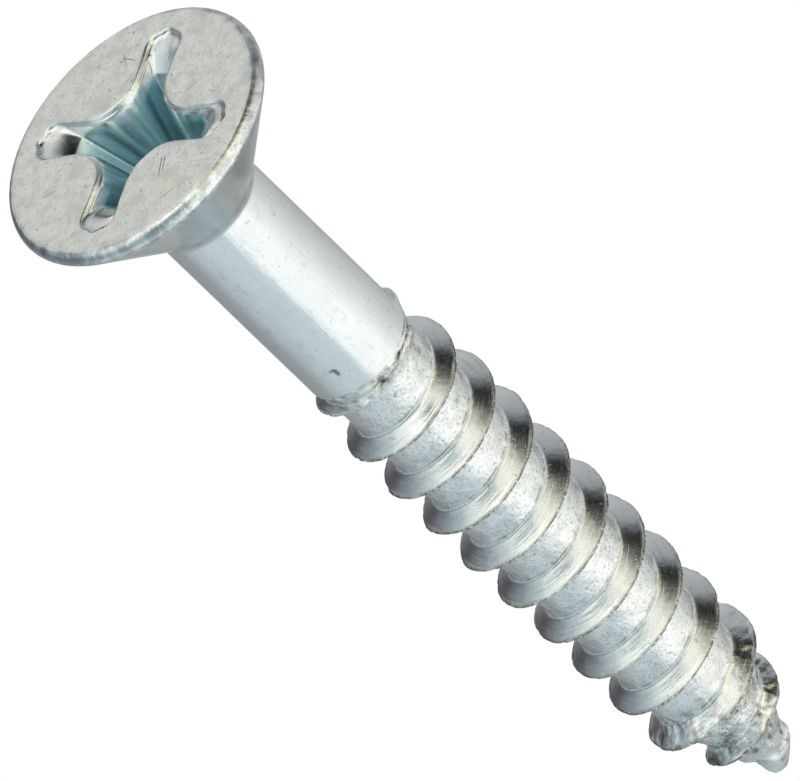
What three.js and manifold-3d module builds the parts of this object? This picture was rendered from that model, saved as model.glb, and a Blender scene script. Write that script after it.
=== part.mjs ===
// Cross-recessed countersunk wood screw, zinc plated, sized as a No. 14 x 1-3/4 in screw.
// Millimetres, +Z up. The origin is the centre of the flat head face; the tip points down to -Z.
// A wood screw is cold-headed and thread-rolled from one length of wire, so it is one solid.
import * as THREE from 'three';
import { mergeVertices } from 'three/addons/utils/BufferGeometryUtils.js';
import Module from 'manifold-3d';

// Head
const HEAD_RADIUS = 5.96;
const FACE_RADIUS = 5.63;
const RIM_WIDEST_DEPTH = 0.38;
const CONE_TOP_DEPTH = 0.73;
const CONE_TOP_RADIUS = 5.92;
const CONE_HALF_ANGLE = THREE.MathUtils.degToRad(41);

// Shank and thread
const SCREW_LENGTH = 44.1;
const SHANK_RADIUS = 2.4;
const SHANK_END_DEPTH = 15.05;
const ROOT_RADIUS = 2.2;
const CREST_RADIUS = 3.09;
const THREAD_PITCH = 2.54;
const FLANK_HALF_ANGLE = THREE.MathUtils.degToRad(30);
const CREST_FLAT = 0.06;
const ROOT_OVERLAP = 0.3;

// The crest crosses this compass angle at this depth, which fixes where the helix stands.
const CREST_REFERENCE_ANGLE = THREE.MathUtils.degToRad(233.5);
const CREST_REFERENCE_DEPTH = 17.85;

// Cross recess: its four wings lie along X and Y.
const WING_END_RADIUS = 4.86;
const WING_HALF_WIDTH = 0.86;
const NOSE_DISTANCE = 1.88;
const RAMP_DEPTH = 0.6;
const RAMP_END_RADIUS = 3.15;
const WING_TAPER = THREE.MathUtils.degToRad(26.5);
const RECESS_DEPTH = 4.1;

// Facets round the axis; a multiple of four keeps the true radius on X and Y.
const TURN_SEGMENTS = 40;
const NOSE_SEGMENTS = 6;
const CORNER_SEGMENTS = 3;

// Slivers thinner than this are closed up after the pieces are joined.
const SURFACE_TOLERANCE = 0.004;

const wasm = await Module();
wasm.setup();

function interpolate(table, x) {
  if (x <= table[0][0]) return table[0][1];
  for (let i = 1; i < table.length; i += 1) {
    const [x0, y0] = table[i - 1];
    const [x1, y1] = table[i];
    if (x <= x1) return y0 + ((y1 - y0) * (x - x0)) / (x1 - x0);
  }
  return table[table.length - 1][1];
}

// Radius of the solid core below the shank, down to the blunt gimlet point.
const CORE_TAPER = [
  [SHANK_END_DEPTH, SHANK_RADIUS],
  [SHANK_END_DEPTH + 0.35, ROOT_RADIUS],
  [38.3, ROOT_RADIUS],
  [40.6, 1.66],
  [42.2, 1.19],
  [43.1, 0.9],
  [43.65, 0.66],
  [43.97, 0.46],
  [44.07, 0.3],
];

// Radius of the thread crest along the screw: it runs out of the shank and fades at the point.
const CREST_ENVELOPE = [
  [14.85, SHANK_RADIUS - 0.3],
  [15.4, SHANK_RADIUS + 0.08],
  [16.0, 2.72],
  [17.0, 2.93],
  [18.2, CREST_RADIUS],
  [38.6, CREST_RADIUS],
  [39.9, 2.54],
  [41.3, 2.13],
  [42.4, 1.12],
  [42.9, 0.62],
];

function toManifold(geometry) {
  const bare = geometry.clone();
  bare.deleteAttribute('normal');
  bare.deleteAttribute('uv');
  const merged = mergeVertices(bare, 1e-5);
  const mesh = new wasm.Mesh({
    numProp: 3,
    vertProperties: new Float32Array(merged.attributes.position.array),
    triVerts: new Uint32Array(merged.index.array),
  });
  return new wasm.Manifold(mesh);
}

function toGeometry(solid) {
  const mesh = solid.getMesh();
  const geometry = new THREE.BufferGeometry();
  geometry.setAttribute('position', new THREE.BufferAttribute(new Float32Array(mesh.vertProperties), 3));
  geometry.setIndex(new THREE.BufferAttribute(new Uint32Array(mesh.triVerts), 1));
  const faceted = geometry.toNonIndexed();
  faceted.computeVertexNormals();
  return faceted;
}

// Joins equal-sized rings of points into a closed skin with a fan at each end.
function loftRings(rings, startPoint, endPoint) {
  const count = rings[0].length;
  const positions = [];
  const index = [];
  for (const ring of rings) {
    for (const point of ring) positions.push(point.x, point.y, point.z);
  }
  for (let ring = 0; ring < rings.length - 1; ring += 1) {
    for (let i = 0; i < count; i += 1) {
      const next = (i + 1) % count;
      const a = ring * count + i;
      const b = ring * count + next;
      const c = a + count;
      const d = b + count;
      index.push(a, b, d);
      index.push(a, d, c);
    }
  }
  const startIndex = rings.length * count;
  const endIndex = startIndex + 1;
  const last = (rings.length - 1) * count;
  positions.push(startPoint.x, startPoint.y, startPoint.z);
  positions.push(endPoint.x, endPoint.y, endPoint.z);
  for (let i = 0; i < count; i += 1) {
    const next = (i + 1) % count;
    index.push(startIndex, next, i);
    index.push(endIndex, last + i, last + next);
  }
  const geometry = new THREE.BufferGeometry();
  geometry.setAttribute('position', new THREE.Float32BufferAttribute(positions, 3));
  geometry.setIndex(index);
  return geometry;
}

// Head, shank and core, turned about the axis from the point up to the face.
function turnedBody() {
  const coneBottomDepth = CONE_TOP_DEPTH + (CONE_TOP_RADIUS - SHANK_RADIUS) / Math.tan(CONE_HALF_ANGLE);
  const profile = [new THREE.Vector2(0, -SCREW_LENGTH)];
  for (const [depth, radius] of [...CORE_TAPER].reverse()) profile.push(new THREE.Vector2(radius, -depth));
  profile.push(new THREE.Vector2(SHANK_RADIUS, -(coneBottomDepth + 0.18)));
  profile.push(new THREE.Vector2(SHANK_RADIUS + 0.05, -(coneBottomDepth - 0.02)));
  profile.push(new THREE.Vector2(SHANK_RADIUS + 0.18, -(coneBottomDepth - 0.2)));
  profile.push(new THREE.Vector2(CONE_TOP_RADIUS, -CONE_TOP_DEPTH));
  profile.push(new THREE.Vector2(HEAD_RADIUS, -(RIM_WIDEST_DEPTH + 0.14)));
  profile.push(new THREE.Vector2(HEAD_RADIUS, -RIM_WIDEST_DEPTH));
  profile.push(new THREE.Vector2(FACE_RADIUS + 0.24, -0.16));
  profile.push(new THREE.Vector2(FACE_RADIUS + 0.12, -0.04));
  profile.push(new THREE.Vector2(FACE_RADIUS, 0));
  profile.push(new THREE.Vector2(0, 0));
  const geometry = new THREE.LatheGeometry(profile, TURN_SEGMENTS);
  geometry.rotateX(Math.PI / 2);
  return geometry;
}

// The ridge is a tapering triangular section swept down a right-hand helix.
function threadRidge() {
  const startDepth = CREST_ENVELOPE[0][0];
  const endDepth = CREST_ENVELOPE[CREST_ENVELOPE.length - 1][0];
  const stepDepth = THREAD_PITCH / TURN_SEGMENTS;
  const stepAngle = (2 * Math.PI) / TURN_SEGMENTS;
  const referenceStep = Math.floor(CREST_REFERENCE_ANGLE / stepAngle) + 0.5;
  const angleSlip = CREST_REFERENCE_ANGLE - referenceStep * stepAngle;
  const referenceDepth = CREST_REFERENCE_DEPTH + (angleSlip / stepAngle) * stepDepth;
  const firstStep = Math.ceil((startDepth - referenceDepth) / stepDepth);
  const lastStep = Math.floor((endDepth - referenceDepth) / stepDepth);
  const rings = [];
  for (let step = firstStep; step <= lastStep; step += 1) {
    const depth = referenceDepth + step * stepDepth;
    const angle = (referenceStep - step) * stepAngle;
    const crest = interpolate(CREST_ENVELOPE, depth);
    const floor = Math.max(Math.min(interpolate(CORE_TAPER, depth) - ROOT_OVERLAP, crest - 0.12), 0.2);
    const baseHalf = CREST_FLAT / 2 + (crest - floor) * Math.tan(FLANK_HALF_ANGLE);
    const section = [
      [floor, -baseHalf],
      [crest, -CREST_FLAT / 2],
      [crest, CREST_FLAT / 2],
      [floor, baseHalf],
    ];
    rings.push(section.map(([radius, rise]) => new THREE.Vector3(
      radius * Math.cos(angle),
      radius * Math.sin(angle),
      rise - depth,
    )));
  }
  const middle = (ring) => ring.reduce((sum, p) => sum.add(p), new THREE.Vector3()).multiplyScalar(0.25);
  return loftRings(rings, middle(rings[0]), middle(rings[rings.length - 1]));
}

// One level of the cross: four round-ended wings joined by rounded noses of head metal.
function crossOutline(depth, wingEnd, halfWidth, noseDistance) {
  const noseCentre = (noseDistance - halfWidth) / (Math.SQRT2 - 1);
  const noseRadius = noseCentre - halfWidth;
  const corner = halfWidth * 0.7;
  const bulge = halfWidth * 0.14;
  const quarter = [[wingEnd, 0]];
  for (let i = 0; i <= CORNER_SEGMENTS; i += 1) {
    const turn = (i / CORNER_SEGMENTS) * (Math.PI / 2);
    const x = wingEnd - bulge - corner + corner * Math.cos(turn);
    quarter.push([x, halfWidth - corner + corner * Math.sin(turn)]);
  }
  for (let i = 0; i <= NOSE_SEGMENTS; i += 1) {
    const turn = -Math.PI / 2 - (i / NOSE_SEGMENTS) * (Math.PI / 2);
    quarter.push([noseCentre + noseRadius * Math.cos(turn), noseCentre + noseRadius * Math.sin(turn)]);
  }
  for (let i = CORNER_SEGMENTS; i >= 0; i -= 1) {
    const [x, y] = quarter[1 + i];
    quarter.push([y, x]);
  }
  const ring = [];
  for (let wing = 0; wing < 4; wing += 1) {
    const spin = (wing * Math.PI) / 2;
    for (const [x, y] of quarter) {
      const turnedX = x * Math.cos(spin) - y * Math.sin(spin);
      const turnedY = x * Math.sin(spin) + y * Math.cos(spin);
      ring.push(new THREE.Vector3(turnedX, turnedY, -depth));
    }
  }
  return ring;
}

// The wings start as shallow ramps, then drop steeply and close in towards the middle.
function recessCutter() {
  const floorDepth = RECESS_DEPTH - 0.4;
  const floorEnd = RAMP_END_RADIUS - (floorDepth - RAMP_DEPTH) * Math.tan(WING_TAPER);
  const rings = [
    crossOutline(floorDepth, floorEnd, 0.34, 0.82),
    crossOutline(RAMP_DEPTH, RAMP_END_RADIUS, 0.52, 1.56),
    crossOutline(0.24, WING_END_RADIUS - 0.42, 0.68, 1.66),
    crossOutline(0.1, WING_END_RADIUS - 0.16, 0.74, 1.74),
    crossOutline(-0.1, WING_END_RADIUS + 0.16, 2 * WING_HALF_WIDTH - 0.74, 2 * NOSE_DISTANCE - 1.74),
  ];
  return loftRings(rings, new THREE.Vector3(0, 0, -RECESS_DEPTH), new THREE.Vector3(0, 0, 0.5));
}

function woodScrew() {
  const body = toManifold(turnedBody());
  const ridge = toManifold(threadRidge());
  const recess = toManifold(recessCutter());
  const solid = body.add(ridge).subtract(recess).asOriginal().simplify(SURFACE_TOLERANCE);
  const zinc = new THREE.MeshStandardMaterial({ color: 0xc4cacc, roughness: 0.3, metalness: 1 });
  const mesh = new THREE.Mesh(toGeometry(solid), zinc);
  mesh.name = 'wood_screw';
  return mesh;
}

const group = new THREE.Group();
group.name = 'wood_screw_assembly';
group.add(woodScrew());

export default group;
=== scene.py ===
"""A zinc-plated countersunk wood screw with a cross recess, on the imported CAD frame."""
import math

import bpy
import numpy as np
from mathutils import Matrix, Vector


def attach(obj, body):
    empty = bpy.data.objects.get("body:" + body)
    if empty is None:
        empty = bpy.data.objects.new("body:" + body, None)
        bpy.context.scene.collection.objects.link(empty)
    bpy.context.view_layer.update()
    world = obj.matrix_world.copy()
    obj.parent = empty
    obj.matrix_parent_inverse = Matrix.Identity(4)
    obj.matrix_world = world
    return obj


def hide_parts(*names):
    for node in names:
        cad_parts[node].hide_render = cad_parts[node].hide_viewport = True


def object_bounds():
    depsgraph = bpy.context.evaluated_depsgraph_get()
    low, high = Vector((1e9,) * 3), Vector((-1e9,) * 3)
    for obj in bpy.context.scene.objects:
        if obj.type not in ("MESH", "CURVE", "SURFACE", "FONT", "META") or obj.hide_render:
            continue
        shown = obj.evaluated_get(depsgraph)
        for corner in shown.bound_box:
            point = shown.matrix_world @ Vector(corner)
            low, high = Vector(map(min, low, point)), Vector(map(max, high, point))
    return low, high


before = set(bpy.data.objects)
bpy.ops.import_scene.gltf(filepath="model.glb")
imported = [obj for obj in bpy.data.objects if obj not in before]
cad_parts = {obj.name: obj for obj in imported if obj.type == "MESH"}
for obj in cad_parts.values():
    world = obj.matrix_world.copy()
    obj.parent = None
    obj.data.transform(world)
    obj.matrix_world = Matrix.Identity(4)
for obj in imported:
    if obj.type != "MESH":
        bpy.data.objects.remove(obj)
cad_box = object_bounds()

MM = 0.001
# Points in each ring round the screw; a multiple of 8, as the recess repeats its outline 8 times.
COLUMNS = 192

# The side of the screw that the camera stands on, as an angle round the axis.
VIEW_AZIMUTH = math.radians(233.5)

# Millimetres, measured down from the head face; the axis is Z and the point is at -Z.
HEAD_RADIUS = round(cad_box[1][0] / MM, 3)
LENGTH = round((cad_box[1][2] - cad_box[0][2]) / MM, 3)
SHANK_RADIUS = 2.4
PITCH = 2.54
FLANK_SLOPE = math.tan(math.radians(30))
# Depth of one crest of the thread on the camera's side.
CREST_DEPTH = 17.85
# The skin is finer from here down, where the shank's end is marked.
FINE_TOP = 12.8
THREAD_TOP = 14.8
THREAD_END = 43.0
# Depths between which the wear of the last turns sets in, and the paler, duller metal of the point.
WORN_FROM, WORN_FULL = 36.3, 39
POINT_FROM, POINT_FULL = 41.2, 42.4

# (depth, radius) of the thread's root, then of its crest.
CORE = [
    (14.95, 2.4), (15.08, 2.385), (15.2, 2.31), (15.4, 2.23), (15.7, 2.2), (37.8, 2.2), (38.6, 2.15),
    (39.6, 1.93), (40.6, 1.66), (41.5, 1.4), (42.2, 1.19), (42.65, 1.04), (43.1, 0.9), (43.5, 0.73),
    (43.75, 0.61), (43.95, 0.48), (44.05, 0.38), (44.09, 0.22),
]
CREST = [
    (14.9, 2.3), (15.4, 2.46), (16.0, 2.72), (17.0, 2.93), (17.7, 3.05), (18.3, 3.09), (38.5, 3.09),
    (39.1, 2.93), (39.9, 2.53), (41.3, 2.13), (42.0, 1.55), (42.4, 1.12), (42.9, 0.68),
]


def lookup(table, x):
    """Reads a table of (x, y) pairs with straight lines between them."""
    xs, ys = zip(*table)
    return np.interp(x, xs, ys)


NOISE_CELLS = 32
NOISE = np.random.default_rng(11).random((NOISE_CELLS, NOISE_CELLS, NOISE_CELLS)) * 2 - 1


def noise(points, size, seed=0):
    """Smooth noise from -1 to 1 with features about size across; each seed is another stretch of it."""
    q = np.asarray(points) / size + seed * 7.313
    cell = np.floor(q).astype(int)
    f = q - cell
    f = f * f * (3 - 2 * f)
    total = 0.0
    for dx in (0, 1):
        for dy in (0, 1):
            for dz in (0, 1):
                w = (
                    (f[..., 0] if dx else 1 - f[..., 0])
                    * (f[..., 1] if dy else 1 - f[..., 1])
                    * (f[..., 2] if dz else 1 - f[..., 2])
                )
                k = (cell + (dx, dy, dz)) % NOISE_CELLS
                total = total + w * NOISE[k[..., 0], k[..., 1], k[..., 2]]
    return total


def smooth(low, high, x):
    """0 below low, 1 above high, with an eased step between."""
    u = np.clip((np.asarray(x, float) - low) / (high - low), 0, 1)
    return u * u * (3 - 2 * u)


# ---------------------------------------------------------------- head face and cross recess

# depth, wing end, half width at the wing end, half width at its root, nose distance, corner, bulge
RECESS_LEVELS = [
    (0.0, 4.82, 0.89, 0.835, 1.91, 0.58, 0.15),
    (0.008, 4.795, 0.87, 0.815, 1.885, 0.58, 0.15),
    (0.028, 4.77, 0.85, 0.79, 1.855, 0.57, 0.15),
    (0.065, 4.745, 0.825, 0.765, 1.82, 0.56, 0.14),
    (0.12, 4.71, 0.8, 0.735, 1.78, 0.55, 0.13),
    (0.16, 4.47, 0.76, 0.71, 1.745, 0.48, 0.11),
    (0.185, 4.22, 0.73, 0.68, 1.72, 0.4, 0.1),
    (0.23, 4.02, 0.705, 0.655, 1.695, 0.34, 0.08),
    (0.3, 3.82, 0.675, 0.63, 1.665, 0.27, 0.06),
    (0.39, 3.62, 0.64, 0.6, 1.63, 0.2, 0.05),
    (0.5, 3.42, 0.6, 0.575, 1.595, 0.15, 0.04),
    (0.61, 3.22, 0.56, 0.545, 1.56, 0.12, 0.03),
    (0.67, 3.14, 0.545, 0.535, 1.54, 0.11, 0.02),
    (1.1, 2.92, 0.515, 0.51, 1.43, 0.1, 0.02),
    (1.6, 2.67, 0.49, 0.485, 1.3, 0.1, 0.02),
    (2.2, 2.37, 0.455, 0.45, 1.16, 0.1, 0.02),
    (2.8, 2.07, 0.42, 0.415, 1.02, 0.1, 0.02),
    (3.3, 1.82, 0.385, 0.38, 0.91, 0.1, 0.02),
    (3.65, 1.64, 0.35, 0.345, 0.82, 0.1, 0.02),
]
# The floor: depth at its middle, depth near it, and how much shallower it gets towards the walls.
FLOOR_MIDDLE, FLOOR_DEPTH, FLOOR_RISE = 4.13, 4.1, 0.45
FLOOR_SHARES = (0.25, 0.6)
FACE_SHARES = (0.04, 0.1, 0.18, 0.28, 0.4, 0.52, 0.64, 0.76, 0.87, 0.95)
# How many of the top levels are dented as the lip, and how many of them look like the head face.
LIP_LEVELS, FACE_LEVELS = 6, 4


def cross_outline(end, half_end, half, nose, corner, bulge):
    """One level of the recess as COLUMNS points, starting at the middle of the +X wing.

    Half a wing is drawn: its bulged end, its rounded corner, its side and half the nose after it.
    Mirrored and turned, it gives the whole outline.
    """
    steps = COLUMNS // 8
    n_end, n_corner = steps // 5, steps // 6
    n_side = steps // 4
    n_nose = steps - n_end - n_corner - n_side
    centre = (nose - half) / (math.sqrt(2) - 1)
    radius = centre - half
    half_way = []
    for i in range(n_end):
        q = i / n_end
        half_way.append((end - bulge * q * q, q * (half_end - corner)))
    for i in range(n_corner):
        a = i / n_corner * math.pi / 2
        inner, outer = end - bulge - corner, half_end - corner
        half_way.append((inner + corner * math.cos(a), outer + corner * math.sin(a)))
    for i in range(n_side):
        q = i / n_side
        half_way.append(((end - bulge - corner) * (1 - q) + centre * q, half_end * (1 - q) + half * q))
    for i in range(n_nose + 1):
        a = -math.pi / 2 - i / n_nose * math.pi / 4
        half_way.append((centre + radius * math.cos(a), centre + radius * math.sin(a)))
    quarter = half_way + [(y, x) for x, y in reversed(half_way[1:-1])]
    quarter = np.array(quarter)
    ring = []
    for k in range(4):
        c, s = math.cos(k * math.pi / 2), math.sin(k * math.pi / 2)
        ring.append(quarter @ np.array([[c, s], [-s, c]]))
    return np.vstack(ring)


ANGLES = np.arange(COLUMNS) * 2 * math.pi / COLUMNS
CIRCLE = np.stack([np.cos(ANGLES), np.sin(ANGLES)], 1)


def face_rings():
    """Rings from the bottom of the recess up its walls, over the lip and out to the face's edge."""
    rings = []
    outline = cross_outline(*RECESS_LEVELS[-1][1:])
    for share in FLOOR_SHARES:
        height = -FLOOR_DEPTH + FLOOR_RISE * share ** 1.5
        rings.append(np.column_stack([outline * share, np.full(COLUMNS, height)]))
    for depth, *shape in reversed(RECESS_LEVELS):
        rings.append(np.column_stack([cross_outline(*shape), np.full(COLUMNS, -depth)]))
    lip = cross_outline(*RECESS_LEVELS[0][1:])
    for share in FACE_SHARES:
        rings.append(np.column_stack([lip * (1 - share) + CIRCLE * FACE_EDGE * share, np.zeros(COLUMNS)]))
    return rings


# ---------------------------------------------------------------- turned surface

# Where the flat of the head face ends.
FACE_EDGE = HEAD_RADIUS - 0.46
# Height of the fillet under the cone, and how far down the shank it runs out.
FILLET, FILLET_RUN = 0.34, 0.26
CONE_SLOPE = math.tan(math.radians(41))
# The rounded rim as (distance in from the head's greatest radius, depth).
RIM_PROFILE = [
    (0.41, 0.0), (0.36, 0.004), (0.31, 0.018), (0.25, 0.042), (0.19, 0.076), (0.135, 0.12), (0.088, 0.175),
    (0.052, 0.235), (0.025, 0.3), (0.008, 0.365), (0.0, 0.43), (0.003, 0.495), (0.02, 0.56),
    (0.05, 0.625), (0.09, 0.69), (0.14, 0.76),
]
RIM = [(HEAD_RADIUS - inset, depth) for inset, depth in RIM_PROFILE]
CONE_TOP, CONE_DEPTH = RIM[-1]
CONE_END = CONE_DEPTH + (CONE_TOP - SHANK_RADIUS) / CONE_SLOPE


def body_rows():
    """(radius, depth) of the regular rings from the face's edge to the start of the thread."""
    rows = list(RIM)
    for q in np.linspace(0, 1, 16)[1:-1]:
        radius = CONE_TOP + (SHANK_RADIUS + FILLET - CONE_TOP) * q
        rows.append((radius, CONE_DEPTH + (CONE_END - CONE_DEPTH - FILLET / CONE_SLOPE) * q))
    # Fillet between the cone and the shank.
    start, reach = CONE_END - FILLET / CONE_SLOPE, FILLET / CONE_SLOPE + FILLET_RUN
    for q in np.linspace(0, 1, 9):
        rows.append((SHANK_RADIUS + FILLET * (1 - q) ** 2, start + q * reach))
    first = rows[-1][1]
    for q in np.linspace(0, 1, 16)[1:]:
        rows.append((SHANK_RADIUS, first + (FINE_TOP - first) * q))
    for q in np.linspace(0, 1, 23)[1:]:
        rows.append((SHANK_RADIUS, FINE_TOP + (THREAD_TOP - FINE_TOP) * q))
    return rows


# Depths of the rings below the thread.
TIP_ROWS = [43.1, 43.2, 43.3, 43.4, 43.5, 43.6, 43.7, 43.8, 43.88, 43.95, 44.0, 44.04, 44.075, 44.09]


# ---------------------------------------------------------------- thread

# Shares of the way from crest to root on the flank that faces the point, across the root, and on the
# flank that faces the head, in order down the screw.
TIP_FLANK_STEPS = (0, 0.02, 0.07, 0.2, 0.45, 0.75, 0.95, 1.0)
ROOT_STEPS = (0.02, 0.07, 0.15, 0.25, 0.36, 0.47, 0.58, 0.68, 0.77, 0.85, 0.91, 0.955, 0.985)
HEAD_FLANK_STEPS = (1.0, 0.97, 0.92, 0.85, 0.75, 0.64, 0.51, 0.38, 0.26, 0.17, 0.105, 0.06, 0.015)
FOOT_FILLET = 0.045
# Half the least width of a thread that has run out, and the gap left to the rings above and below.
LEAST_HALF_WIDTH = 0.06
THREAD_GAP = 0.012


def crest_band(q):
    """1 on the thread's edge, 0 a little way down its flank; q is the share of the way to the root."""
    return min(1.0, max(0.0, 1.6 - q / 0.085))


def core_radius(depth):
    return float(lookup(CORE, depth))


def thread_columns():
    """For each column, {lattice number: (radius, depth, flank, root, crest, foot)} inside the thread.

    A point's lattice number rises down the screw and is the same all along the thread, so columns
    are joined number by number. Also says how many numbers one pitch takes.
    """
    columns = []
    for angle in ANGLES:
        first = CREST_DEPTH - PITCH * (angle - VIEW_AZIMUTH) / (2 * math.pi)
        points = {}
        for n in range(-5, 14):  # More turns than fit; those outside the thread are left out.
            above, below = first + n * PITCH, first + (n + 1) * PITCH
            if below < THREAD_TOP or above > THREAD_END:
                continue
            tall = [max(float(lookup(CREST, d)), core_radius(d)) for d in (above, below)]
            heights = [r - core_radius(d) for r, d in zip(tall, (above, below))]
            wide = [max(height * FLANK_SLOPE, LEAST_HALF_WIDTH) for height in heights]
            lattice = []
            for q in TIP_FLANK_STEPS:
                depth = above + q * wide[0]
                radius = tall[0] * (1 - q) + core_radius(depth) * q
                lattice.append((radius, depth, 1 - q ** 4, q ** 4, crest_band(q), 0.0))
            low, high = above + wide[0], below - wide[1]
            for q in ROOT_STEPS:
                depth = low + q * (high - low)
                foot = max(0.0, (q - 0.9) / 0.1) ** 2
                lattice.append((core_radius(depth) + FOOT_FILLET * foot, depth, 0.0, 1.0, 0.0, foot))
            for q in HEAD_FLANK_STEPS:
                depth = below - q * wide[1]
                foot = max(0.0, (q - 0.7) / 0.3) ** 2
                radius = tall[1] * (1 - q) + core_radius(depth) * q + FOOT_FILLET * foot
                lattice.append((radius, depth, 1 - foot, foot ** 2, crest_band(q), foot ** 5))
            for j, point in enumerate(lattice):
                if THREAD_TOP + THREAD_GAP < point[1] < THREAD_END - THREAD_GAP:
                    points[n * len(lattice) + j] = point
        columns.append(points)
    return columns, len(lattice)


# ---------------------------------------------------------------- one closed mesh

class Skin:
    """Collects the points, zones and faces of the screw's single closed surface."""

    def __init__(self):
        self.points, self.zones, self.faces = [], [], []

    def ring(self, xyz, **zone):
        first = len(self.points)
        self.points.extend(map(tuple, xyz))
        self.zones.extend([zone] * len(xyz))
        return [first + i for i in range(len(xyz))]

    def point(self, xyz, **zone):
        self.points.append(tuple(xyz))
        self.zones.append(zone)
        return len(self.points) - 1

    def band(self, upper, lower):
        """Faces between a ring and the next one towards the point, seen from outside."""
        for i in range(COLUMNS):
            j = (i + 1) % COLUMNS
            self.faces.append((upper[i], lower[i], lower[j], upper[j]))


def turned(radius, depth):
    """The points of a round ring."""
    return np.column_stack([CIRCLE * radius, np.full(COLUMNS, -depth)])


def skin_head(skin):
    """From the middle of the recess to the end of the plain shank; returns the last ring."""
    bottom = skin.point((0, 0, -FLOOR_MIDDLE), recess=1.0)
    n_recess = len(FLOOR_SHARES) + len(RECESS_LEVELS)
    previous = None
    for k, xyz in enumerate(face_rings()):
        inside = float(k < n_recess - FACE_LEVELS)
        lip = float(n_recess - LIP_LEVELS <= k < n_recess)
        ring = skin.ring(xyz, recess=inside, lip=lip, face=1 - inside)
        if previous is None:
            for i in range(COLUMNS):
                skin.faces.append((bottom, ring[i], ring[(i + 1) % COLUMNS]))
        else:
            skin.band(previous, ring)
        previous = ring
    for radius, depth in body_rows():
        rim = float(smooth(0.0, 0.05, depth) * (1 - smooth(0.6, 0.9, depth)))
        cone = float(smooth(0.7, 0.95, depth) * (1 - smooth(CONE_END - 0.1, CONE_END + 0.15, depth)))
        face = 1 - float(smooth(0.0, 0.06, depth))
        ring = skin.ring(turned(radius, depth), rim=rim, cone=cone, face=face)
        skin.band(previous, ring)
        previous = ring
    return previous


def skin_thread(skin, top):
    """The thread, from the ring at its top to the ring at its end, which is returned."""
    columns, per_pitch = thread_columns()
    number = []
    for i, column in enumerate(columns):
        c, s = math.cos(ANGLES[i]), math.sin(ANGLES[i])
        ids = {}
        for g in sorted(column):
            radius, depth, flank, root, crest, foot = column[g]
            zone = {"flank": flank, "root": root, "crest": crest, "foot": foot, "thread": 1.0}
            ids[g] = skin.point((radius * c, radius * s, -depth), **zone)
        number.append(ids)
    base = skin.ring(turned(core_radius(THREAD_END), THREAD_END), root=1.0, thread=1.0)
    for i in range(COLUMNS):
        j = (i + 1) % COLUMNS
        here = number[i]
        there = number[j] if j else {g + per_pitch: v for g, v in number[0].items()}
        a, b = min(here), min(there)
        for g in range(a, b):
            skin.faces.append((here[g], here[g + 1], top[j]))
        skin.faces.append((top[i], here[a], top[j]))
        skin.faces.append((top[j], here[b], there[b]))
        c, d = max(here), max(there)
        for g in range(b, c):
            skin.faces.append((here[g], here[g + 1], there[g + 1], there[g]))
        for g in range(c, d):
            skin.faces.append((base[i], there[g + 1], there[g]))
        skin.faces.append((here[c], base[i], there[c]))
        skin.faces.append((base[i], base[j], there[d]))
    return base


def build_skin():
    skin = Skin()
    previous = skin_thread(skin, skin_head(skin))
    for depth in TIP_ROWS:
        ring = skin.ring(turned(core_radius(depth), depth), tip=1.0, root=1.0)
        skin.band(previous, ring)
        previous = ring
    end = skin.point((0, 0, -LENGTH), tip=1.0)
    for i in range(COLUMNS):
        skin.faces.append((previous[i], end, previous[(i + 1) % COLUMNS]))
    return skin


# ---------------------------------------------------------------- dents, burrs and wear

def near(x, centre, width):
    """A soft bump of height 1 at centre, down to a tenth at width away."""
    return np.exp(-((np.asarray(x) - centre) / width * 1.5) ** 2)


# Depth, degrees from the camera's side, and height in millimetres.
COLLAR_SPOTS = ((15.42, -31, 0.24), (15.4, -16, 0.24), (15.3, -5, -0.16), (16.1, 50, -0.1))


def side_angle(p):
    """Degrees round the axis from the side that faces the camera, positive towards its right."""
    turn = np.degrees(np.arctan2(p[:, 1], p[:, 0]) - VIEW_AZIMUTH)
    return (turn + 180) % 360 - 180


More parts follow.
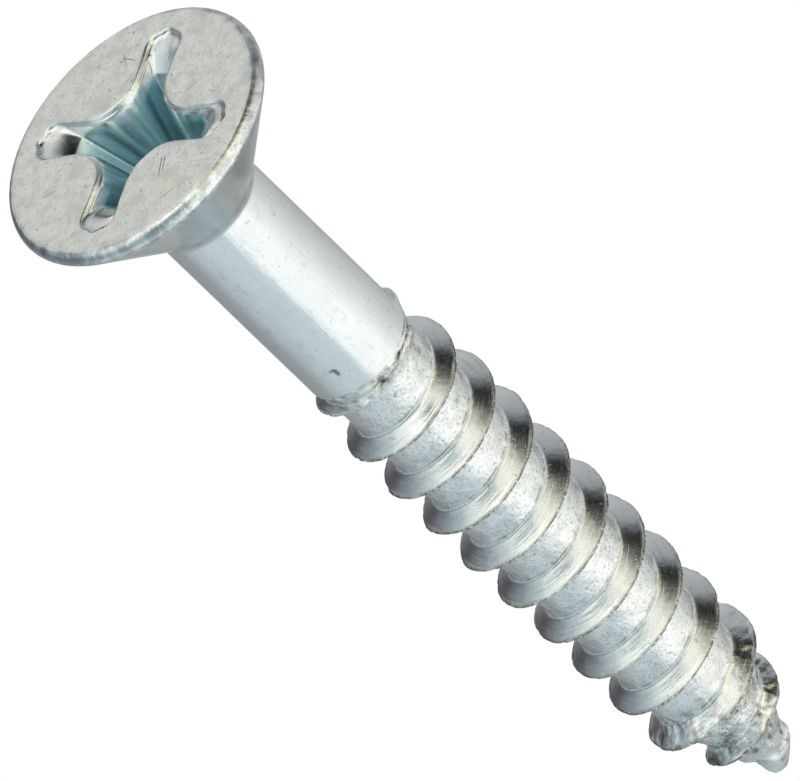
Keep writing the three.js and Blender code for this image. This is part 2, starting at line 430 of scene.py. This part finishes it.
class Wear:
    """Marks of forming and use: how far each point moves out, in millimetres, and how much dirt and painted
    shade darken it.
    """

    def __init__(self, points, zone):
        self.p, self.zone = points, zone
        self.depth, self.radius = -points[:, 2], np.hypot(points[:, 0], points[:, 1])
        self.phi = side_angle(points)
        self.out, self.dirt_and_shade = np.zeros(len(points)), np.zeros(len(points))
        self.worn = smooth(WORN_FROM, WORN_FULL, self.depth)

    def shank(self):
        """Slight waves, one dent with painted shade in its crescent, one scratch and a darker mark where
        the shank meets the cone.
        """
        p, depth, phi, out, dirt_and_shade = self.p, self.depth, self.phi, self.out, self.dirt_and_shade
        shank = (self.radius < 3) & (depth > 4) & (depth < 15)
        out += shank * (0.006 * noise(p, (1.6, 1.6, 3.4), 1) + 0.0025 * noise(p, 0.5, 2))
        aside, down = np.radians(phi + 33) * SHANK_RADIUS, depth - 13.58
        dent = near(np.hypot(aside, down), 0.15, 0.12) * smooth(-0.1, 0.06, aside - 0.4 * down)
        scratch = near(depth, 10.7 + 0.01 * phi, 0.16) * near(phi, -14, 7)
        out -= shank * (0.05 * dent + 0.03 * scratch)
        # Painted shade in the dent's crescent.
        dirt_and_shade += shank * (dent > 0.45)
        neck = (self.radius < 3) * near(depth, CONE_END + 0.05, 0.2)
        neck = neck * smooth(55, 75, phi) * (1 - smooth(110, 130, phi))
        out -= 0.05 * neck
        # Darker where the shank meets the cone, on its right.
        dirt_and_shade += 0.7 * neck

    def collar(self):
        """Ragged end of the plain shank, where the rolled thread pushed metal up into a torn collar."""
        p, depth, radius, phi, zone = self.p, self.depth, self.radius, self.phi, self.zone
        out, dirt_and_shade = self.out, self.dirt_and_shade
        torn = smooth(-12, 0, phi) * (1 - smooth(62, 80, phi))
        rag = noise(p, (0.45, 0.45, 0.16), 3) + 0.7 * noise(p, (0.18, 0.18, 0.1), 4)
        collar = near(depth, 15.33 + 0.05 * noise(p, 0.6, 20), 0.26)
        crevice = near(depth, 15.08 + 0.07 * noise(p, 0.5, 21), 0.09) * torn
        out += torn * collar * (0.15 + 0.07 * rag) + near(depth, 15.1, 0.4) * 0.015 * rag
        # The crevice is cut in and darkened with painted shade.
        out -= crevice * 0.13 * (1 + rag)
        dirt_and_shade += crevice * np.clip(1.1 + 1.2 * rag, 0, 1.4)
        # A lump of metal stands out on the right.
        out += smooth(14.15, 14.35, depth) * (1 - smooth(14.5, 15.1, depth)) * near(phi, 94, 24) * 0.22
        # On the left the shank runs straight out into the first turn.
        first_crest = CREST_DEPTH - PITCH - PITCH * phi / 360
        joined = (1 - smooth(-14, -4, phi)) * smooth(-66, -44, phi)
        joined = joined * (depth > 14.9) * (depth < first_crest)
        out += joined * np.clip(SHANK_RADIUS + 0.22 * (depth - 15.0) - radius, 0, 1)
        # Lumps under the collar are painted pale as a painted highlight; hollows are darkened with painted
        # shade.
        for centre, angle, height in COLLAR_SPOTS:
            spot = near(depth, centre, 0.2) * near(phi, angle, 8)
            out += height * spot
            dirt_and_shade += spot * np.sign(-height)
            zone["foot"] = np.maximum(zone["foot"], spot * (height > 0))
        # A raised bead along the shank's end on the left, painted pale as a painted highlight.
        bead = near(depth, 14.96, 0.07) * smooth(-62, -50, phi) * (1 - smooth(-14, -6, phi)) * (radius < 3)
        out += 0.035 * bead
        zone["foot"] = np.maximum(zone["foot"], bead)

    def thread(self):
        """Grainy root with painted shade in its corners, wavy flanks, chipped crests with a dark line of
        brownish stain and painted shadow.
        """
        p, zone, worn, out, dirt_and_shade = self.p, self.zone, self.worn, self.out, self.dirt_and_shade
        root, flank, crest, thread = zone["root"], zone["flank"], zone["crest"], zone["thread"]
        beads = np.clip(0.4 + noise(p, 0.2, 19), 0, 1)
        out += zone["foot"] * root * 0.035 * beads
        # Painted shade in the corner where the root meets the foot of the flank.
        corner = thread * root * near(zone["foot"], 0.25, 0.3)
        dirt_and_shade += 0.9 * corner * np.clip(0.3 + 1.5 * noise(p, 0.35, 22), 0, 1)
        out += thread * root * (0.014 * noise(p, 0.55, 6) + 0.009 * noise(p, 0.2, 7)) * (1 + 3 * worn)
        out += flank * (0.009 * noise(p, 1.1, 8) + 0.003 * noise(p, 0.3, 9)) * (1 + 4 * worn)
        chips = np.clip(noise(p, 0.3, 10) - 0.3, 0, 1)
        out -= crest * (0.08 * chips + 0.014 * noise(p, 0.2, 12) + 0.05 * noise(p, 1.5, 28))
        # Dark line along the crests: partly brownish stain, partly painted shadow.
        edge = crest * np.clip(0.85 + 0.7 * noise(p, 0.3, 23), 0.1, 1)
        dirt_and_shade += edge * smooth(15.5, 16.2, self.depth) * (1 - 0.75 * smooth(62, 85, self.phi))

    def last_turns(self):
        """The last turns were cut away to form the point and are battered all over."""
        p, depth, phi, zone = self.p, self.depth, self.phi, self.zone
        worn, out, dirt_and_shade = self.worn, self.out, self.dirt_and_shade
        root, flank, crest, thread = zone["root"], zone["flank"], zone["crest"], zone["thread"]
        dents = np.clip(noise(p, 0.75, 13) - 0.15, 0, 1)
        rough = noise(p, 0.45, 24) + 0.6 * noise(p, 0.2, 25)
        out -= worn * thread * dents * (0.26 * flank * (1 - crest) + 0.08 * crest + 0.14 * root)
        out += worn * thread * 0.05 * rough * (1 - 0.8 * crest)
        gouge = near(depth, 38.08 - 0.003 * (phi + 40), 0.42) * (near(phi, -38, 16) + near(phi, -64, 12))
        gouge = gouge * (1 - crest)
        chatter = noise(p, 0.26, 26)
        out += gouge * 0.16 * chatter
        # Painted shade in the hollows of the gouge's chatter.
        dirt_and_shade += gouge * np.clip(-0.1 - chatter, 0, 1)
        dirt_and_shade += worn * np.clip(1.2 * noise(p, 0.32, 27) - 0.35, 0, 1) * 1.3

    def ends(self):
        """Painted shade under the edge of the face and on both sides of the rim, and a rough point."""
        p, phi, dirt_and_shade = self.p, self.phi, self.dirt_and_shade
        # A broken dark line of painted shade just under the face's edge.
        under = (self.radius > 5.4) * near(self.depth, 0.04, 0.05)
        under = under * np.clip(0.2 + noise(p, 0.6, 29), 0, 1)
        dirt_and_shade += 0.45 * under
        # Painted shade on the rim's left and right, seen from the camera's side.
        side = smooth(42, 68, np.abs(phi)) * (1 - smooth(92, 115, np.abs(phi)))
        dirt_and_shade += self.zone["rim"] * side * np.clip(0.3 + 0.5 * noise(p, 0.5, 30), 0, 1)
        self.out += self.zone["tip"] * 0.04 * noise(p, 0.3, 14)

    def moved(self):
        """The points after all the marks."""
        p, depth, radius, zone = self.p, self.depth, self.radius, self.zone
        moved = p.copy()
        safe = np.maximum(radius, 0.05)
        below_rim = (depth > 0.9)[:, None] * (radius > 0.02)[:, None]
        moved[:, :2] += p[:, :2] / safe[:, None] * self.out[:, None] * below_rim
        # The point is bent to one side.
        bent = 0.13 * near(depth, 43.0, 0.7) - 0.13 * smooth(43.4, 44.0, depth)
        moved[:, 0] -= math.sin(VIEW_AZIMUTH) * bent
        moved[:, 1] += math.cos(VIEW_AZIMUTH) * bent
        # The lips of the recess were pushed about when it was punched.
        lip = zone["lip"]
        moved[:, 2] -= lip * np.clip(0.01 + 0.035 * noise(p, 0.7, 15), 0, 1)
        moved[:, 2] -= zone["face"] * (1 - lip) * np.clip(0.004 + 0.004 * noise(p, 1.3, 16), 0, 1)
        sway = zone["recess"] * 0.5 + lip
        moved[:, 0] += sway * 0.035 * noise(p, 0.8, 17)
        moved[:, 1] += sway * 0.035 * noise(p, 0.8, 18)
        moved[:, 2] = np.maximum(moved[:, 2], -LENGTH)
        return moved


def wear(points, zone):
    """The worn points and how much dirt and painted shade darken each, from 0 to 1."""
    marks = Wear(points, zone)
    marks.shank()
    marks.collar()
    marks.thread()
    marks.last_turns()
    marks.ends()
    return marks.moved(), np.clip(marks.dirt_and_shade, 0, 1)


# ---------------------------------------------------------------- scene

def nodes_of(owner):
    """The emptied node tree of a material or world."""
    owner.use_nodes = True
    owner.node_tree.nodes.clear()
    return owner.node_tree


def add(tree, kind, settings=None, **inputs):
    """Adds a node; settings are its properties, inputs its sockets by name or number."""
    node = tree.nodes.new("ShaderNode" + kind)
    for key, value in (settings or {}).items():
        setattr(node, key, value)
    for key, value in inputs.items():
        key = key.replace("_", " ")
        socket = node.inputs[int(key[1:])] if key[0] == "i" and key[1:].isdigit() else node.inputs[key]
        if isinstance(value, bpy.types.NodeSocket):
            tree.links.new(value, socket)
        else:
            socket.default_value = value
    return node


def math_node(tree, operation, a, b=0.0):
    return add(tree, "Math", {"operation": operation}, i0=a, i1=b).outputs[0]


def step_node(tree, value, low, high):
    """0 below low and 1 above high, eased between."""
    settings = {"interpolation_type": "SMOOTHSTEP"}
    return add(tree, "MapRange", settings, i0=value, i1=low, i2=high).outputs[0]


def mix_node(tree, amount, a, b):
    """Colour a where amount is 0 and b where it is 1."""
    node = add(tree, "Mix", {"data_type": "RGBA", "clamp_factor": True}, i0=amount)
    for socket, value in ((node.inputs[6], a), (node.inputs[7], b)):
        if isinstance(value, bpy.types.NodeSocket):
            tree.links.new(value, socket)
        else:
            socket.default_value = value
    return node.outputs[2]


def ramp_node(tree, value, stops):
    """Colour by value; stops are (value, colour), with straight lines between them."""
    node = add(tree, "ValToRGB", None, i0=value)
    ramp = node.color_ramp
    ramp.interpolation = "LINEAR"
    while len(ramp.elements) < len(stops):
        ramp.elements.new(0.5)
    for element, (place, colour) in zip(ramp.elements, stops):
        element.position = place
        element.color = colour
    return node.outputs[0]


def linear(red, green, blue, gain):
    """Scene-linear colour from display values of 0 to 255, none of them near black."""
    return (*[gain * ((v / 255 + 0.055) / 1.055) ** 2.4 for v in (red, green, blue)], 1.0)


# ---------------------------------------------------------------- the screw

# What each point of the skin belongs to, from 0 to 1; the material looks them up by name.
ZONES = ("recess", "lip", "face", "rim", "cone", "flank", "root", "crest", "foot", "thread", "tip")


def screw_object():
    skin = build_skin()
    zone = {name: np.array([marks.get(name, 0.0) for marks in skin.zones]) for name in ZONES}
    points = np.array(skin.points)
    # The shallow ramps at the wing ends, and the top of the walls, keep the colour of the face.
    ramp = smooth(3.1, 3.25, np.hypot(points[:, 0], points[:, 1])) * (points[:, 2] > -0.7)
    zone["recess"] *= (1 - ramp) * smooth(0.05, 0.7, -points[:, 2])
    points, zone["dirt_and_shade"] = wear(points, zone)
    zone["end"] = smooth(POINT_FROM, POINT_FULL, -points[:, 2])
    zone["worn"] = smooth(WORN_FROM, WORN_FULL, -points[:, 2]) * (1 - 0.75 * zone["end"])
    mesh = bpy.data.meshes.new("zinc_screw")
    mesh.from_pydata((points * MM).tolist(), [], skin.faces)
    mesh.shade_smooth()
    for name, values in zone.items():
        layer = mesh.attributes.new(name, "FLOAT", "POINT")
        layer.data.foreach_set("value", values.astype(np.float32))
    mesh.update()
    obj = bpy.data.objects.new("zinc_screw", mesh)
    bpy.context.scene.collection.objects.link(obj)
    return obj


# Deep scratches on the head: how far right and how far towards the camera the middle lies, the angle
# in degrees from straight towards the camera, half the length and half the width.
GASHES = [
    (-0.2, 3.1, -41, 0.62, 0.035), (-0.04, 3.14, -43, 0.42, 0.03), (1.95, -3.3, 22, 0.4, 0.03),
    (3.3, 2.1, 24, 0.34, 0.016), (3.45, 1.9, -24, 0.25, 0.014), (-3.9, -0.9, 58, 0.3, 0.02),
]


# The drawn surface is what these zones leave: the shank, the cone and the rim.
DRAWN = {"face": -1.0, "root": -1.0, "flank": -1.0, "recess": -1.0, "foot": -1.0}
MATERIAL_ZONES = (
    "recess", "face", "rim", "cone", "flank", "root", "crest", "foot", "dirt_and_shade", "worn", "end",
)


class Plate:
    """The zinc plate's node tree: coordinates in millimetres, zones of the skin and shared patterns."""

    def __init__(self, tree):
        self.tree = tree
        place = add(tree, "TexCoord").outputs["Object"]
        self.mm = add(tree, "VectorMath", {"operation": "SCALE"}, i0=place, Scale=1 / MM).outputs[0]
        x, y, z = add(tree, "SeparateXYZ", None, i0=self.mm).outputs
        self.zone = {
            name: add(tree, "Attribute", {"attribute_name": name}).outputs["Fac"] for name in MATERIAL_ZONES
        }
        # Round-the-screw coordinates, so that streaks follow the thread and drawing lines the shank.
        radial = math_node(tree, "SQRT", self.plus(self.times(x, x), self.times(y, y)))
        turn = math_node(tree, "ARCTAN2", y, x)
        rise = self.plus(z, self.times(turn, -PITCH / (2 * math.pi)))
        self.streak = self.noise_at(1.0, 3.0, 0.6, self.join(
            self.times(radial, 7.0), self.times(turn, 1.6), self.times(rise, 7.0)))
        self.lines = self.noise_at(1.0, 3.0, 0.6, self.join(
            self.times(turn, 22.0), self.times(z, 0.7), radial))
        self.bars = self.noise_at(1.0, 2.0, 0.5, self.join(
            self.times(turn, 3.4), self.times(z, 0.02), 0.0))

        self.patch = self.noise_at(1.9, 4.0, 0.6)
        self.fine = self.noise_at(7.0, 4.0, 0.68)
        self.drawn = self.weigh(1.0, **DRAWN)
        self.beaten = self.times(self.zone["worn"], self.zone["root"])
        pitted = self.weigh(0.35, face=0.3, root=0.25, rim=0.3)
        self.pits = self.times(self.step(self.noise_at(3.4, 2.0, 0.6), 0.68, 0.74), pitted)
        crossed = self.plus(self.scratches(28, 2.2, 0.705), self.scratches(-52, 2.9, 0.7))
        self.scuff = self.times(crossed, self.times(self.zone["face"], 0.35))
        self.gashed = self.times(self.zone["face"], self.gashes(x, y))

    def times(self, a, b):
        return math_node(self.tree, "MULTIPLY", a, b)

    def plus(self, a, b):
        return math_node(self.tree, "ADD", a, b)

    def step(self, value, low, high):
        return step_node(self.tree, value, low, high)

    def join(self, x, y, z):
        return add(self.tree, "CombineXYZ", None, X=x, Y=y, Z=z).outputs[0]

    def weigh(self, base, **shares):
        """base plus each named zone's strength times its share."""
        total = base
        for name, share in shares.items():
            total = self.plus(self.times(self.zone[name], share), total)
        return total

    def paint(self, base, amount, colour):
        return mix_node(self.tree, amount, base, (*colour, 1))

    def noise_at(self, scale, detail=3.0, rough=0.5, vector=None):
        place = self.mm if vector is None else vector
        sockets = {"Vector": place, "Scale": scale, "Detail": detail, "Roughness": rough}
        return add(self.tree, "TexNoise", None, **sockets).outputs[0]

    def scratches(self, angle, spacing, sharp):
        """Long thin marks on the head face at an angle in degrees."""
        sockets = {"Vector": self.mm, "Rotation": (0, 0, math.radians(angle)), "Scale": (6.0, 1.0, 1.0)}
        leaning = add(self.tree, "Mapping", {"vector_type": "TEXTURE"}, **sockets).outputs[0]
        return self.step(self.noise_at(spacing, 1.0, 0.4, leaning), sharp, sharp + 0.05)

    def gashes(self, x, y):
        """The few deep scratches on the head, as straight lines."""
        towards = (math.cos(VIEW_AZIMUTH), math.sin(VIEW_AZIMUTH))
        aside = (math.cos(VIEW_AZIMUTH + math.pi / 2), math.sin(VIEW_AZIMUTH + math.pi / 2))
        total = None
        for right, ahead, lean, half_length, half_width in GASHES:
            c, s = math.cos(VIEW_AZIMUTH + math.radians(lean)), math.sin(VIEW_AZIMUTH + math.radians(lean))
            dx = self.plus(x, -(ahead * towards[0] + right * aside[0]))
            dy = self.plus(y, -(ahead * towards[1] + right * aside[1]))
            length = math_node(self.tree, "ABSOLUTE", self.plus(self.times(dx, c), self.times(dy, s)))
            width = math_node(self.tree, "ABSOLUTE", self.plus(self.times(dy, c), self.times(dx, -s)))
            line = self.step(length, half_length, 0.6 * half_length)
            line = self.times(line, self.step(width, half_width, 0.4 * half_width))
            total = line if total is None else self.plus(total, line)
        return total


def plate_colour(n):
    """Each coat of paint goes over the ones before it."""
    times, plus, step, paint, zone = n.times, n.plus, n.step, n.paint, n.zone
    cloud = n.noise_at(0.7, 3.0)
    speck = n.noise_at(7.5, 3.0, 0.65)
    plate = ramp_node(n.tree, cloud, [(0.3, (0.8, 0.825, 0.835, 1)), (0.7, (0.87, 0.88, 0.88, 1))])

    # Head face: mottled, yellowed in places, dimmed in others, and flecked.
    plate = mix_node(n.tree, zone["face"], plate, ramp_node(n.tree, n.patch, [
        (0.32, (0.69, 0.7, 0.69, 1)), (0.5, (0.83, 0.845, 0.835, 1)), (0.7, (0.91, 0.915, 0.89, 1)),
    ]))
    yellow = times(zone["face"], step(n.noise_at(0.9, 2.0), 0.52, 0.72))
    plate = paint(plate, times(yellow, 0.6), (0.86, 0.81, 0.68))
    dim = times(zone["face"], step(cloud, 0.5, 0.36))
    plate = paint(plate, times(dim, 0.5), (0.64, 0.65, 0.64))
    plate = paint(plate, times(zone["face"], step(n.fine, 0.5, 0.75)), (0.66, 0.66, 0.64))
    flecked = times(zone["face"], step(speck, 0.4, 0.33))
    plate = paint(plate, times(flecked, 0.75), (0.5, 0.49, 0.45))

    # Thread: a grainy root, and flanks streaked with painted sheen and painted shade.
    plate = paint(plate, times(zone["root"], step(speck, 0.4, 0.52)), (0.98, 0.98, 0.97))
    plate = paint(plate, times(zone["root"], step(speck, 0.42, 0.32)), (0.58, 0.61, 0.61))
    plate = paint(plate, times(zone["flank"], 0.7), (0.94, 0.945, 0.92))
    # Pale bands are painted sheen, the darker streaks painted shade.
    bands = times(zone["flank"], step(n.streak, 0.5, 0.66))
    plate = paint(plate, times(bands, 0.6), (0.98, 0.98, 0.92))
    shade = times(zone["flank"], step(n.streak, 0.46, 0.32))
    plate = paint(plate, times(shade, 0.45), (0.64, 0.66, 0.64))

    # Worn last turns and point, rim, recess, and a painted highlight along the foot of the thread's flanks.
    plate = paint(plate, times(zone["worn"], step(n.patch, 0.45, 0.6)), (0.95, 0.955, 0.94))
    plate = paint(plate, times(zone["end"], 0.75), (0.96, 0.965, 0.96))
    plate = paint(plate, times(n.beaten, step(speck, 0.57, 0.66)), (0.2, 0.21, 0.21))
    plate = paint(plate, times(zone["rim"], step(n.patch, 0.52, 0.4)), (0.64, 0.64, 0.64))
    plate = paint(plate, times(zone["rim"], step(n.patch, 0.48, 0.58)), (0.97, 0.97, 0.96))
    plate = paint(plate, zone["recess"], (0.6, 0.755, 0.8))
    # The foot zone, the collar's bead and its lumps are painted pale: a painted highlight, in the corners
    # partly whitish deposit.
    plate = paint(plate, zone["foot"], (0.93, 0.95, 0.975))

    # Pits, scratches, grime with painted shade, and bright flecks on the crests.
    plate = paint(plate, plus(n.pits, n.scuff), (0.3, 0.29, 0.25))
    plate = paint(plate, n.gashed, (0.24, 0.23, 0.21))
    # Darkened by dirt and by painted shade, brownish on the crests.
    grime_and_shade = times(zone["dirt_and_shade"], step(n.fine, 0.25, 0.5))
    stain_and_shade = mix_node(n.tree, zone["crest"], (0.08, 0.075, 0.07, 1), (0.24, 0.17, 0.12, 1))
    plate = mix_node(n.tree, times(grime_and_shade, 0.9), plate, stain_and_shade)
    flecks = times(n.weigh(0.0, crest=1.0, foot=1.0), step(speck, 0.55, 0.62))
    plate = paint(plate, flecks, (0.96, 0.97, 0.98))

    # Shank and cone: faint blots and drawing lines; painted shade over the cone and bars of painted shade
    # and highlight down it.
    blots = times(n.drawn, step(n.noise_at(2.4, 2.0), 0.6, 0.7))
    plate = paint(plate, times(blots, 0.3), (0.6, 0.61, 0.6))
    plate = paint(plate, times(n.drawn, times(step(n.lines, 0.5, 0.7), 0.3)), (0.66, 0.69, 0.7))
    plate = paint(plate, times(n.drawn, times(step(n.fine, 0.52, 0.72), 0.4)), (0.66, 0.69, 0.69))
    # The cone is painted darker as painted shade; its dark and pale bars are painted shade and painted
    # highlight.
    plate = paint(plate, times(zone["cone"], 0.6), (0.68, 0.71, 0.72))
    plate = paint(plate, times(zone["cone"], step(n.bars, 0.5, 0.66)), (0.62, 0.64, 0.64))
    return paint(plate, times(zone["cone"], step(n.bars, 0.48, 0.34)), (0.86, 0.87, 0.87))


def plate_roughness(n):
    dull = n.weigh(0.07, face=0.14, root=0.1, recess=0.14, rim=0.1, worn=-0.02, foot=0.1, end=0.22)
    rough = n.plus(n.times(n.fine, 0.08), dull)
    return n.plus(n.times(n.streak, n.times(n.zone["flank"], 0.07)), rough)


def plate_height(n):
    """Grain too fine for the skin, in millimetres."""
    times, plus, zone = n.times, n.plus, n.zone
    grain = n.weigh(
        0.0022, root=0.018, face=0.0015, rim=0.01, recess=0.001, worn=0.004, foot=0.03, crest=0.03)
    height = times(n.fine, grain)
    mottle = n.weigh(0.011, root=0.038, face=-0.006, rim=0.02, worn=0.018)
    height = plus(height, times(n.patch, mottle))
    height = plus(height, times(n.noise_at(1.7, 1.5), times(zone["worn"], 0.055)))
    height = plus(height, times(n.noise_at(3.0, 1.5), times(n.beaten, 0.045)))
    height = plus(height, times(n.lines, times(n.drawn, 0.006)))
    height = plus(height, times(n.streak, times(zone["flank"], 0.014)))
    height = plus(height, times(n.pits, -0.01))
    return plus(height, times(n.scuff, -0.006))


def zinc():
    """Bright zinc plate: satin steel, clean on the shank, stained and scratched elsewhere, with painted
    shade and highlights in places.
    """
    material = bpy.data.materials.new("zinc_plate")
    tree = nodes_of(material)
    n = Plate(tree)
    bump = add(tree, "Bump", None, Strength=1.0, Distance=MM, Height=plate_height(n))
    surface = {
        # The foot zone is made nearly non-metal so that its pale paint shows: part of its painted
        # highlight.
        "Metallic": n.weigh(1.0, foot=-0.85),
        "Base_Color": plate_colour(n),
        "Roughness": plate_roughness(n),
        "Normal": bump.outputs[0],
    }
    shader = add(tree, "BsdfPrincipled", None, **surface)
    out = add(tree, "OutputMaterial")
    tree.links.new(shader.outputs[0], out.inputs[0])
    return material


screw = screw_object()
screw.data.materials.append(zinc())
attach(screw, "root")
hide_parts("wood_screw")

# ---------------------------------------------------------------- camera

# The camera looks down on the head; tilt is the angle between the screw's axis and the view.
TILT = math.radians(53.68)
ROLL = math.radians(-0.16)
AXIS_IN_VIEW = math.radians(43.88)
# Focal length, sensor width and distance from the point aimed at, in millimetres.
LENS = 1080.0
SENSOR = 36.0
DISTANCE = 922.58
# The point the camera aims at, from the head face: along the screw as it is seen, and to its side.
AIM_ALONG = 14.418
AIM_ACROSS = 0.0234


def add_camera():
    flat = math.sin(TILT)
    away = Vector((-flat * math.cos(VIEW_AZIMUTH), -flat * math.sin(VIEW_AZIMUTH), -math.cos(TILT)))
    across = Vector((-math.sin(VIEW_AZIMUTH), math.cos(VIEW_AZIMUTH), 0))
    along = away.cross(across)
    if along.z > 0:
        along = -along
    rolled_along = along * math.cos(ROLL) - across * math.sin(ROLL)
    rolled_across = along * math.sin(ROLL) + across * math.cos(ROLL)
    c, s = math.cos(AXIS_IN_VIEW), math.sin(AXIS_IN_VIEW)
    right = rolled_along * c + rolled_across * s
    up = rolled_across * c - rolled_along * s
    spot = along * AIM_ALONG + across * AIM_ACROSS - away * DISTANCE
    data = bpy.data.cameras.new("camera")
    data.lens = LENS
    data.sensor_width = SENSOR
    data.clip_start = 0.05
    data.clip_end = 10
    camera = bpy.data.objects.new("camera", data)
    turn = Matrix((right, up, -away)).transposed().to_4x4()
    camera.matrix_world = Matrix.Translation(spot * MM) @ turn
    bpy.context.scene.collection.objects.link(camera)
    bpy.context.scene.camera = camera


add_camera()

# ---------------------------------------------------------------- studio

# Rows of soft cards round the screw, lowest first: the row's height in degrees, then its cards as
# (degrees round from the camera's side, colour).
CARDS = [
    (-64, [
        (-180, (143, 158, 164)), (-170, (164, 166, 166)), (-150, (152, 158, 160)), (-60, (154, 165, 169)),
        (-10, (166, 177, 180)), (20, (166, 174, 175)), (60, (156, 159, 157)), (150, (150, 152, 150)),
        (168, (112, 114, 112)), (175, (138, 148, 150)), (180, (143, 158, 164)),
    ]),
    (-38, [
        (-180, (228, 228, 224)), (-175, (146, 150, 152)), (-150, (138, 140, 142)), (-115, (145, 150, 153)),
        (-94, (168, 179, 183)), (-60, (186, 197, 201)), (-22, (192, 203, 207)), (-9, (244, 247, 246)),
        (38, (248, 249, 247)), (60, (226, 230, 226)), (90, (202, 206, 204)), (130, (178, 182, 181)),
        (160, (156, 160, 161)), (175, (150, 154, 156)), (180, (228, 228, 224)),
    ]),
    (4, [
        (-180, (236, 234, 228)), (-174, (80, 78, 80)), (-158, (70, 70, 76)), (-135, (96, 102, 108)),
        (-90, (130, 144, 148)), (-35, (140, 160, 164)), (-8, (210, 216, 214)), (20, (248, 248, 244)),
        (80, (190, 192, 188)), (118, (138, 141, 144)), (150, (167, 172, 175)), (172, (160, 164, 166)),
        (180, (236, 234, 228)),
    ]),
    (36, [
        (-180, (200, 201, 198)), (-158, (172, 178, 179)), (-140, (128, 138, 144)), (-125, (162, 174, 178)),
        (-70, (205, 213, 214)), (-35, (84, 110, 116)), (-8, (125, 148, 148)), (8, (244, 245, 232)),
        (60, (238, 238, 214)), (85, (110, 108, 96)), (106, (58, 58, 64)), (124, (140, 146, 149)),
        (150, (163, 169, 170)), (180, (200, 201, 198)),
    ]),
    (56, [
        (-180, (222, 222, 216)), (-125, (192, 203, 205)), (-105, (226, 231, 227)), (-60, (238, 242, 240)),
        (-32, (110, 136, 140)), (-6, (200, 212, 210)), (12, (246, 247, 234)), (60, (205, 205, 180)),
        (85, (80, 80, 74)), (100, (22, 22, 27)), (111, (16, 16, 20)), (121, (56, 58, 62)),
        (140, (148, 151, 150)), (180, (222, 222, 216)),
    ]),
    (71, [
        (-180, (244, 244, 234)), (-74, (251, 252, 246)), (-30, (253, 252, 242)), (10, (248, 246, 226)),
        (50, (170, 176, 162)), (88, (84, 88, 86)), (108, (60, 62, 64)), (125, (112, 114, 110)),
        (180, (240, 242, 236)),
    ]),
    (88, [(-180, (255, 253, 238)), (60, (210, 211, 196)), (180, (255, 253, 238))]),
]
CARD_GAIN = 1.22


def studio():
    world = bpy.data.worlds.new("studio")
    bpy.context.scene.world = world
    tree = nodes_of(world)
    ray = add(tree, "TexCoord").outputs["Generated"]
    front = (math.cos(VIEW_AZIMUTH), math.sin(VIEW_AZIMUTH), 0)
    right = (-math.sin(VIEW_AZIMUTH), math.cos(VIEW_AZIMUTH), 0)
    ahead = add(tree, "VectorMath", {"operation": "DOT_PRODUCT"}, i0=ray, i1=front).outputs["Value"]
    aside = add(tree, "VectorMath", {"operation": "DOT_PRODUCT"}, i0=ray, i1=right).outputs["Value"]
    height = math_node(tree, "ARCSINE", add(tree, "SeparateXYZ", None, i0=ray).outputs[2])
    turn = math_node(tree, "ARCTAN2", aside, ahead)
    turn = math_node(tree, "ADD", math_node(tree, "DIVIDE", turn, 2 * math.pi), 0.5)
    light = None
    for k, (rise, stops) in enumerate(CARDS):
        ramp = [((a + 180) / 360, linear(*colour, gain=CARD_GAIN)) for a, colour in stops]
        row = ramp_node(tree, turn, ramp)
        if light is None:
            light = row
        else:
            share = step_node(tree, height, math.radians(CARDS[k - 1][0]), math.radians(rise))
            light = mix_node(tree, share, light, row)
    cards = add(tree, "Background", None, Color=light, Strength=1.0)
    paper = add(tree, "Background", None, Color=(1, 1, 1, 1), Strength=1.0)
    seen = add(tree, "LightPath").outputs["Is Camera Ray"]
    both = add(tree, "MixShader", None, i0=seen, i1=cards.outputs[0], i2=paper.outputs[0])
    out = add(tree, "OutputWorld")
    tree.links.new(both.outputs[0], out.inputs[0])


# Half the floor's width and its gap below the point, in metres.
FLOOR_REACH, FLOOR_GAP = 3.0, 0.0001


def add_floor():
    """A plain white table under the point, too evenly lit to hold a shadow."""
    corners = [(FLOOR_REACH * x, FLOOR_REACH * y) for x, y in ((-1, -1), (1, -1), (1, 1), (-1, 1))]
    low = cad_box[0][2] - FLOOR_GAP
    mesh = bpy.data.meshes.new("floor")
    mesh.from_pydata([(x, y, low) for x, y in corners], [], [(0, 1, 2, 3)])
    floor = bpy.data.objects.new("floor", mesh)
    bpy.context.scene.collection.objects.link(floor)
    material = bpy.data.materials.new("white_paper")
    tree = nodes_of(material)
    glow = add(tree, "Emission", None, Color=(1, 1, 1, 1), Strength=1.0)
    out = add(tree, "OutputMaterial")
    tree.links.new(glow.outputs[0], out.inputs[0])
    mesh.materials.append(material)
    floor.visible_glossy = False
    floor.visible_diffuse = False
    floor.visible_shadow = False


studio()
add_floor()
bpy.context.scene.view_settings.view_transform = "Standard"
